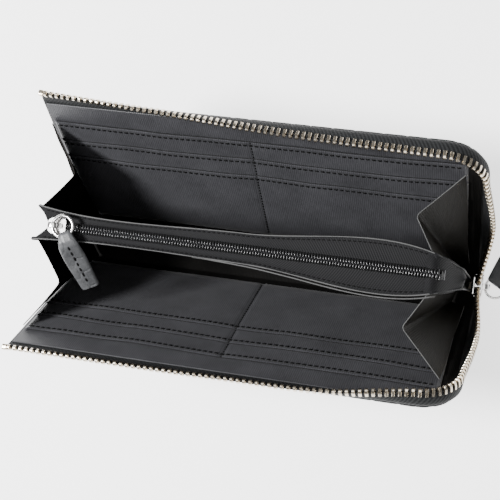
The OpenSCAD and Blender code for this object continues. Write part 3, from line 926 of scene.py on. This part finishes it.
def make_wall(side):
    name = SIDES[side]
    x = np.concatenate([np.linspace(WALL_LEFT[side], POCKET_TOP_X, 120),
                        np.linspace(POCKET_TOP_X, POCKET_RIGHT, 12)[1:]])
    v = np.linspace(0, 1, 26)
    points = on_wall(side, x[:, None], v[None])
    flat = pairs(x[:, None], v[None] * WALL_CUT_H)
    wall = Piece(f"{name}_pocket_wall").add(thick(points, 0.8, flat), WALL)
    roll = on_wall(side, WALL_LEFT[side] + 0.3, np.linspace(0.05, 0.985, 30))
    wall.add(sweep(roll, circle(0.85, 10), (1, 0, 0)), WALL)
    obj = wall.build("lining_cloth", "core", [f"coin_wall_{name}"])
    press(obj)
    edge_x = np.linspace(WALL_LEFT[side], POCKET_TOP_X - 1, 130)
    edge = on_wall(side, edge_x, 1.0) + np.array([0, side * 0.1, 0.2])
    size = 0.7 + 0.2 * value_noise(edge_x / 9, edge_x * 0, 41 + side)
    # Painted highlight: pale cords along the top edge, and a second one along a fold on the front, stand in
    # for the light the folded edges catch
    highlight_cords = Piece(f"{name}_pocket_highlight_cords")
    highlight_cords.add(sweep(edge, circle(0.36, 8, 0.9), (0, 0, 1), scale=size), PAINTED_EDGE_HIGHLIGHT)
    if side == FRONT:
        second_x = np.linspace(SECOND_LEFT, POCKET_TOP_X + 1, 80)
        drift = smooth((second_x - SECOND_LEFT) / 40)
        second = on_wall(side, second_x, 1.0)
        second = second + np.stack([0 * drift, -0.3 - 1.1 * drift, -0.4 - 0.8 * drift], -1)
        highlight_cords.add(sweep(second, circle(0.3, 8, 0.8), (0, 0, 1)), PAINTED_EDGE_HIGHLIGHT)
    press(highlight_cords.build("binding", "core", [f"coin_binding_{name}"]))


def make_coin_tape(side):
    """One side of the coin zip's tape, from the wall's edge to the coil."""
    name = SIDES[side]
    x = np.linspace(TAPE_LEFT, POCKET_TOP_X + 1, 150)
    t = np.linspace(0, 1, 8)
    wall = on_wall(side, x, 1.0)
    wall[:, 1] -= side * 0.25
    coil = pairs(np.maximum(x, -90.0 + (x - TAPE_LEFT) * 0.3), side * 1.7, COIL_Z - 0.35)
    points = mix(wall[:, None] - np.array([0, 0, 0.45]), coil[:, None], t[None, :, None])
    dip = 0.5 * np.sin(np.pi * t) * (1 + 0.5 * value_noise(x / 18 + side, x * 0, 51))[:, None]
    points[..., 2] -= dip
    piece = Piece(f"{name}_coin_ribbon")
    piece.add(thick(points, 0.5, pairs(x[:, None], t[None] * 7)), COIN_TAPE)
    seam = points[2:-4, 1] + np.array([0, 0, 0.25])
    piece.add(stitches(seam, (0, 0, 1), 2.2), THREAD)
    obj = piece.build("coin_zip_tape", "core", [f"coin_tape_{name}"])
    press(obj)


def tab_height(x):
    """Height of the rounded tab's middle line, which falls away to the right."""
    u = np.clip((x - TAB_X) / TAB_LEN, 0, 1)
    return POCKET_TOP + 0.4 + u - 17.8 * smooth(u - 0.12)


def make_coil(side):
    """Nylon coil: slanted loops whose heads mesh along the middle."""
    name = SIDES[side]
    loop = [(0.0, 2.2, 0.35), (0.05, 1.6, 0.55), (0.1, 0.9, 0.62), (0.15, 0.3, 0.6),
            (0.18, -0.1, 0.5), (0.2, -0.25, 0.4)]
    shape = sweep(loop, circle(0.36, 8, 1.25), (1, 0, 0), scale=[0.8, 0.95, 1, 1.1, 0.9, 0.4])
    count = int((COIL_END - COIL_START) / COIL_PITCH)
    x = COIL_START + 0.3 + np.arange(count) * COIL_PITCH + (0 if side == REAR else COIL_PITCH / 2)
    z = np.minimum(COIL_Z, tab_height(x) + 0.9)
    origin = pairs(x, 0.0, z)
    slope = pairs(1.0, 0.0, np.gradient(z, x))
    upward = pairs(-slope[:, 2], 0.0, slope[:, 0])
    points, faces, flat = repeat(shape, origin, slope, upward)
    points = points * np.array([1, side, 1])
    coil = Piece(f"{name}_nylon_coil").add((points, faces, flat), NYLON)
    thread = pairs(x, side * 1.75, z + 0.95)
    coil.add(sweep(thread, circle(0.2, 6), (0, 0, 1)), THREAD)
    coil.build("nylon_coil", "core", [f"coin_coil_{name}"])


def make_pocket_ends():
    """The folded left end, the right end and the rounded tab of the zip tape over it."""
    v = np.linspace(0, 1, 20)
    y = np.linspace(-1, 1, 15)

    def across(x, v):
        """Rows of points from the front wall to the rear one."""
        front, rear = on_wall(FRONT, x, v), on_wall(REAR, x, v)
        return mix(front[:, None], rear[:, None], ((y + 1) / 2)[None, :, None])

    cross = across(POCKET_END_LEFT, v)
    fold = 1 - np.abs(y) ** 1.3
    cross[..., 0] += fold[None] * (1.0 + 5.5 * v[:, None] ** 2)
    cross[..., 2] -= 0.6 + fold[None] * 1.2 * v[:, None]
    flat = pairs(y[None] * 8, v[:, None] * WALL_CUT_H)
    left = Piece("pocket_left_end").add(thick(cross, 0.6, flat), WALL)
    left = left.build("lining_cloth", "core", ["coin_side_left"])
    press(left)

    cross = across(POCKET_RIGHT - 1.2, v * 0.98)
    cross[..., 0] -= (1 - np.abs(y)) * 1.5
    right = Piece("pocket_right_end").add(thick(cross, 0.6, flat), WALL)
    right = right.build("lining_cloth", "core", ["coin_side_right"])
    press(right)

    u = 0.998 * (1 - (1 - np.linspace(0, 1, 34)) ** 1.6)    # crowds towards the round end
    half = TAB_HALF * (1 - u ** 2.6) ** 0.5 + 0.05
    lift = (0.8 + 1.0 * u)[:, None] * (1 - y[None] ** 2)
    x = TAB_X + TAB_LEN * u
    z = tab_height(x) - 1.2 - u
    points = pairs(x[:, None], half[:, None] * y[None], z[:, None] + lift)
    tab = Piece("coin_tab_cover")
    tab.add(thick(points, 0.9, pairs(u[:, None] * 20, y[None] * 8)), COIN_TAPE)
    overlap = points[6:-2, 5] + np.array([0, 0, 0.45])
    tab.add(sweep(overlap, circle(0.2, 6), (0, 0, 1)), THREAD)
    tab = tab.build("coin_zip_tape", "core", ["coin_end_tab"])
    press(tab)

    stops = Piece("coin_stops")
    for x0, z0 in ((COIL_START, COIL_Z), (COIL_END + 0.6, float(tab_height(COIL_END)) + 0.7)):
        points, faces, flat = plate(box_outline(0.75, 2.3, 0.5), z0 - 0.2, z0 + 1.0, 0.25)
        stops.add((points + np.array([x0, 0, 0]), faces, flat), NYLON)
    stops.build("nylon_coil", "core", ["coin_zip_stops"])


# ---------- gussets ----------

# Each gusset at its top and its foot: x where it is sewn to the pocket, its fold as (x, y, z),
# and its edge on the cover as (x, s, n)
# The right gussets' hems are the pale painted highlight. The left gussets, turned away from the key light,
# wear the darker painted-shade copy of the cloth, with hems of the lit gusset cloth.
GUSSETS = {
    "right": dict(pocket=(81, 88), fold=((71.5, 24, 71.5), (86, 9, 4.2)),
                  cover=((90, 77, 3.1), (92, 5, 3.1)), cloth=GUSSET, hem=PAINTED_EDGE_HIGHLIGHT, seed=62),
    "left": dict(pocket=(-94.0, -94.2), fold=((-82.4, 24.6, 72.5), (-90, 9, 4.2)),
                 cover=((-95.6, 82, 3.1), (-95.6, 5, 3.1)), cloth=PAINTED_SHADE_CLOTH, hem=GUSSET, seed=61),
}
FOLLOW_S = 60                   # height on the cover of a line through each gusset's start and finish points
FOLLOW_FROM, FOLLOW_TO = 38, 1  # depths of those two points along that line
FOLD = 20                       # the fold's column in a gusset's grid


def make_gusset(side, end):
    name = SIDES[side]
    g = GUSSETS[end]
    mirror = np.array([1, side, 1])
    pocket = np.array([on_wall(side, x, v) for x, v in zip(g["pocket"], (0.985, 0.01))])
    fold = np.array(g["fold"], float) * mirror
    cover = np.array([on_cover(side, *p) for p in g["cover"]])
    v = (np.linspace(0, 1, 30) ** 1.2)[:, None, None]
    u = np.linspace(0, 2, 2 * FOLD + 1)
    a, b, c = (mix(p[0], p[1], v) for p in (pocket, fold, cover))
    near = mix(a, b, np.clip(u, 0, 1)[None, :, None])
    points = np.where((u <= 1)[None, :, None], near, mix(b, c, np.clip(u - 1, 0, 1)[None, :, None]))
    leaf = np.sin(np.pi * np.mod(u, 1.0))[None, :]
    bow = 0.8 * leaf * np.sin(np.pi * np.clip(v[..., 0] * 1.1, 0, 1))
    points = points + unit(np.cross(b - a, c - a)) * bow[..., None]
    points[..., 2] -= 0.9 * leaf * (1 - v[..., 0]) ** 2
    wave = 0.35 * value_noise(u[None] * 3 + side, v[..., 0] * 6, g["seed"])
    points[..., 0] += wave * smooth(v[..., 0] * 6)
    for _ in range(2):          # softens the crease at the fold
        before, at, after = (points[:, FOLD + k:FOLD + k + 3] for k in (-2, -1, 0))
        points[:, FOLD - 1:FOLD + 2] = (before + at + after) / 3
    piece = Piece(f"{name}_{end}_gusset")
    piece.add(thick(points, 0.5, pairs(u[None] * 18, v[..., 0] * 65)), g["cloth"])
    # On the right gussets this edge is the pale painted highlight; on the left it is the lit gusset cloth
    hem = points[0] + np.array([0, 0, 0.15])
    piece.add(sweep(hem, circle(0.22, 8, 0.9), (0, 0, 1)), g["hem"])
    obj = piece.build("gusset_cloth", replaces=[f"gusset_{name}_{end}"])
    start = Vector(on_cover(side, 0, FOLLOW_S, FOLLOW_FROM)) * MM
    finish = Vector(on_cover(side, 0, FOLLOW_S, FOLLOW_TO)) * MM
    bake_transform(obj)


# ---------- sliders, rings and pulls ----------


STRAP_T = 0.85
LOOP_R, LAYER_GAP = 1.2, 0.5    # half the space between a pull's two layers, at the ring and beyond


def make_strap(name, eye, heading, dip, middle, width, length, marks, slack=0.0):
    """A leather pull, folded round its ring. middle is its middle line as (along, up) beyond
    the eye, and width its half width along it."""

    def layers(u):
        """The middle line's height, its upward normal and half the space between the layers."""
        w = np.interp(u, middle[:, 0], middle[:, 1])
        normal = unit(pairs(-np.gradient(w, u), 1.0))
        return w, normal, mix(LOOP_R, LAYER_GAP, smooth((u - 1.5) / 4.5))

    def half_width(u):
        return through(width, np.clip(u, width[0][0], width[-1][0]))

    run_u = through([(0, 2.2), (1, length)], np.linspace(0, 1, 60))
    mid_w, normal, spread = layers(run_u)
    centre = np.stack([run_u, mid_w], -1)
    top = centre + normal * spread[:, None]
    bottom = centre - normal * spread[:, None]
    turn = np.radians(np.linspace(90, 270, 13))
    loop = np.stack([-0.45 - slack + 1.3 * np.cos(turn), 1.3 * np.sin(turn)], -1)
    path = np.concatenate([top[::-1], loop, bottom])
    y = np.linspace(-1, 1, 21)
    ends = np.clip((length - path[:, 0]) / 0.8, 0, 1)
    half = half_width(path[:, 0]) - 0.3 * (1 - np.sqrt(1 - (1 - ends) ** 2))
    tangent = np.gradient(path, axis=0)
    out = -unit(np.stack([-tangent[:, 1], tangent[:, 0]], -1))      # away from the fold's inside
    gy = half[:, None] * y[None]
    arc = run_length(path)[:, None] + 0 * gy
    scales = croc(arc + 2.5 * value_noise(gy / 6, arc / 9, 71), gy + 31, 8.0, 6.0, 0.12)
    relief = 0.28 * scales + 0.06 * value_noise(arc / 1.2, gy / 1.2, 72)
    relief = relief * smooth((1 - np.abs(y[None])) * half[:, None] / 0.8)
    crown = -0.28 * np.abs(y[None]) ** 6
    outer = path[:, None, :] + out[:, None, :] * (STRAP_T / 2 - 0.25 + relief + crown)[..., None]
    inner = path[:, None, :] - out[:, None, :] * (STRAP_T / 2)

    def world(p, across):
        """From (along, up) and across to the frame's axes."""
        u, w = p[..., 0], p[..., 1]
        ahead = u * math.cos(dip) + w * math.sin(dip)
        up = -u * math.sin(dip) + w * math.cos(dip)
        ca, sa = math.cos(heading), math.sin(heading)
        return pairs(eye[0] + ahead * ca - across * sa, eye[1] + ahead * sa + across * ca, eye[2] + up)

    skin = slab(world(outer, gy), world(inner, gy), pairs(arc, gy))
    piece = Piece(f"{name}_pull_strap").add(skin, PULL)
    u0, u1, lines = marks
    u = np.linspace(u0, u1, 60)
    w, normal, spread = layers(u)
    ups = world(normal, 0.0) - world(np.zeros(2), 0.0)
    for share in lines:
        across = share * (half_width(u) - 1.5)
        line = world(np.stack([u, w + (spread + STRAP_T / 2)], -1), across)
        piece.add(stitches(line, ups, 3.0, 0.5, STRAP_DASH), THREAD)
    return piece.build("pull_leather", f"{name}_pull", [f"{name}_strap"])


def make_ring(name):
    """A ring of round wire. Returns its centre and radius."""
    low, high = box_mm(f"{name}_ring")
    centre = (low + high) / 2
    wire = (high[2] - low[2]) / 2
    r = (high[0] - low[0]) / 2 - wire
    turn = np.linspace(0, 2 * math.pi, 96, endpoint=False)
    path = centre + pairs(r * np.cos(turn), r * np.sin(turn), 0.0)
    shape = sweep(path, circle(wire, 16), (0, 0, 1), closed=True)
    Piece(f"{name}_ring_wire").add(shape, SILVER).build("silver_metal", f"{name}_ring", [f"{name}_ring"])
    return centre, r


def on_ring(ring, heading):
    """The point of a ring's wire in a direction from its centre."""
    centre, r = ring
    return centre + r * np.array([math.cos(heading), math.sin(heading), 0])


LIP_Z = 78.8                    # the coin slider's side lips hang down to this
SHIELD_X = 99.1                 # the main slider's outer plate


def make_coin_slider():
    (x0, _, z0), (x1, _, _) = box_mm("coin_slider")
    top_z = 79.99               # underside of the top plate
    outline = rounded([(x0, -2.5), (x0 + 2.2, -3.8), (x1 - 0.6, -3.4), (x1, -2.6),
                       (x1, 2.6), (x1 - 0.6, 3.4), (x0 + 2.2, 3.8), (x0, 2.5)], 1.3)
    piece = Piece("coin_slider_body")
    piece.add(plate(outline, top_z, top_z + 0.6, 0.18), SILVER)
    piece.add(plate(outline, z0, z0 + 0.6, 0.18), SILVER)
    for side in (REAR, FRONT):
        lip = rounded([(x0 + 1.6, side * 2.75), (x1 - 0.8, side * 2.75), (x1 - 0.8, side * 3.6),
                       (x0 + 2.2, side * 3.7)], 0.3)
        piece.add(plate(lip, LIP_Z, top_z + 0.1, 0.1), SILVER)
    post = rounded([(x0 + 0.2, -0.3), (x0 + 2.2, -0.3), (x0 + 2.2, 0.3), (x0 + 0.2, 0.3)], 0.2)
    piece.add(plate(post, z0 + 0.3, top_z + 0.3, 0.1), SILVER)
    # The bridge is a round-shouldered strap of metal over the ring's wire
    bridge = [(-88.2, 0, top_z + 0.2), (-88.1, 0, 82.6), (-87.5, 0, 83.9), (-86.3, 0, 84.45),
              (-85.2, 0, 84.45), (-84.2, 0, 83.9), (-83.6, 0, 82.6), (-83.5, 0, top_z + 0.2)]
    bar = box_outline(1.2, 0.4, 0.35)
    piece.add(sweep(soft_curve(bridge), bar[:, ::-1], (0, 1, 0)), SILVER)
    piece.build("silver_metal", "coin_slider", ["coin_slider"], crease=35)


def make_main_slider():
    x_in, x_out = box_mm("main_slider")[0][0], SHIELD_X
    z0, z1 = SLIDER_Z0, SLIDER_Z1
    shield = rounded([(-5.2, z0), (5.2, z0), (5.8, z0 + 2.4), (5.8, z1 - 1.6),
                      (4.4, z1), (-4.4, z1), (-5.8, z1 - 1.6), (-5.8, z0 + 2.4)], 1.2)
    piece = Piece("main_slider_body")
    for x in (x_in, x_out):
        piece.add(upright(shield, x, x + 0.8, 0.22), SILVER)
    wedge = rounded([(0, z1 - 7), (0.7, z1 - 4), (0.9, z1 - 0.2), (-0.9, z1 - 0.2), (-0.7, z1 - 4)], 0.3)
    piece.add(upright(wedge, x_in + 0.5, x_out + 0.3, 0.1), SILVER)
    for x in (x_in + 0.7, x_out - 0.5):
        for side in (REAR, FRONT):
            lip = rounded([(side * 4.8, z0 + 1.6), (side * 5.7, z0 + 2.4),
                           (side * 5.7, z1 - 1.8), (side * 4.8, z1 - 1.4)], 0.3)
            piece.add(upright(lip, x, x + 0.6, 0.1), SILVER)
    arch = [(x_out + 0.5, 0, 5.3), (101.4, 0, 5.3), (102.5, 0, 6.2), (102.9, 0, 8.5),
            (102.4, 0, 11.2), (101.2, 0, 12.3), (x_out + 0.5, 0, 12.4)]
    piece.add(sweep(soft_curve(arch), box_outline(0.4, 1.3, 0.3), (0, 1, 0)), SILVER)
    piece.build("silver_metal", "main_slider", ["main_slider"], crease=35)


def make_tail():
    """The folded end of the tapes on the spine, and the box that the chain ends in."""
    y = np.linspace(-5.2, 5.2, 21)
    z = np.linspace(0.35, 4.3, 8)
    gy, gz = np.meshgrid(y, z, indexing="ij")
    points = np.stack([HALF_LEN + 0.45 + 0.12 * np.cos(gy * 0.6),
                       gy * (1 - 0.06 * (gz > 3.8)), gz], -1)
    tail = Piece("zip_tail_fold").add(thick(points, 0.7, np.stack([gy, gz], -1)), TAPE)
    row = points[2:-2, 4] + np.array([0.4, 0, 0])
    tail.add(stitches(row, (1, 0, 0), 2.2), THREAD)
    obj = tail.build("zip_tape", "core", ["main_zip_tail"])
    bar = rounded([(-2.4, 2.6), (2.4, 2.6), (2.4, 4.4), (-2.4, 4.4)], 0.5)
    stop = Piece("zip_end_box").add(upright(bar, HALF_LEN + 0.8, HALF_LEN + 1.8, 0.2), GOLD)
    stop.build("gold_metal", "core", ["main_zip_stop"])


# ---------- build it all ----------

for side in (REAR, FRONT):
    make_shell(side)
    make_lining(side)
    for row in (1, 2, 3):
        make_card_row(side, row)
    make_zip(side)
    make_wall(side)
    make_coin_tape(side)
    make_coil(side)
    for end in ("left", "right"):
        make_gusset(side, end)
make_pocket_ends()
make_tail()
make_coin_slider()
make_main_slider()

coin_heading = math.radians(-64.5)
fall = math.radians(40)         # the pull bends down by this over the pocket's edge
coin_middle = np.array([(-3, 0.3), (2.5, 0.2), (4.5, 0.0), (5.8, -0.9),
                        (5 + 23 * math.cos(fall), -23 * math.sin(fall))])
coin_pull = make_strap(
    "coin", on_ring(make_ring("coin"), coin_heading), coin_heading, 0.0, coin_middle,
    [(-3, 2.7), (0.5, 3.2), (3, 4.0), (23, 4.15)], 22.6, (5.2, 20.5, (0.0,)))
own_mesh(coin_pull)

main_heading = math.radians(60)
make_strap(
    "main", on_ring(make_ring("main"), main_heading), main_heading, math.radians(7),
    np.array([(-6, 0), (8, 0), (20, 0.2), (46, -0.2)]),
    [(-6, 4.8), (0, 5.8), (6, 6.9), (46, 6.9)], 46, (7.0, 44, (1.0, -1.0)), slack=1.6)

# Stiff hidden pieces keep their CAD shape and get a material
for node, material in (("rear_cover_board", BOARD), ("front_cover_board", BOARD),
                       ("spine_board", BOARD), ("coin_pocket_base", WALL)):
    slots = frame["nodes"][node].data.materials
    slots.clear()
    slots.append(material)


# ---------- stage, light and camera ----------

WHITE = (1, 1, 1, 1)
FLOOR_SIZE, FLOOR_DROP = 3.0, 0.00005   # half its side and how far it lies below the wallet, metres


def make_floor():
    material = Shader(
        "floor_paper", Specular_IOR_Level=0.1, Emission_Color=WHITE, Emission_Strength=1.9)
    tone = material.noise(material.place(), 40, 3)
    material.colours(tone, (0.3, (0.93, 0.93, 0.93)), (0.7, (0.95, 0.95, 0.95)))
    material.roughness(tone, 0.8, 0.9)
    mesh = bpy.data.meshes.new("floor")
    corners = [(-1, -1), (1, -1), (1, 1), (-1, 1)]
    mesh.from_pydata([(x * FLOOR_SIZE, y * FLOOR_SIZE, 0) for x, y in corners], [], [(0, 1, 2, 3)])
    mesh.materials.append(material.material)
    floor = bpy.data.objects.new("floor", mesh)
    floor.location.z = -FLOOR_DROP
    bpy.context.scene.collection.objects.link(floor)


def add_light(name, location, target, size, power):
    data = bpy.data.lights.new(name, "AREA")
    data.shape = "DISK"
    data.size = size
    data.energy = power
    light = bpy.data.objects.new(name, data)
    light.location = location
    light.rotation_euler = (Vector(target) - Vector(location)).to_track_quat("-Z", "Y").to_euler()
    bpy.context.scene.collection.objects.link(light)


make_floor()
add_light("key_left", (-0.62, -0.08, 0.9), (0, 0, 0.05), 0.26, 32)
add_light("softbox_over", (0.05, -0.15, 1.0), (0, 0, 0.05), 0.7, 3.5)

world = bpy.data.worlds.new("studio")
bpy.context.scene.world = world
world.use_nodes = True
background = world.node_tree.nodes["Background"]
background.inputs["Color"].default_value = WHITE
background.inputs["Strength"].default_value = 0.22

camera = bpy.data.cameras.new("camera")
camera.lens = 96.9
camera.sensor_width = 36
camera.clip_start = 0.01
camera_object = bpy.data.objects.new("camera", camera)
camera_object.location = (0.132, -0.0242, 0.6427)
camera_object.rotation_euler = [math.radians(a) for a in (4.16, 12.4, 7.96)]
bpy.context.scene.collection.objects.link(camera_object)
bpy.context.scene.camera = camera_object
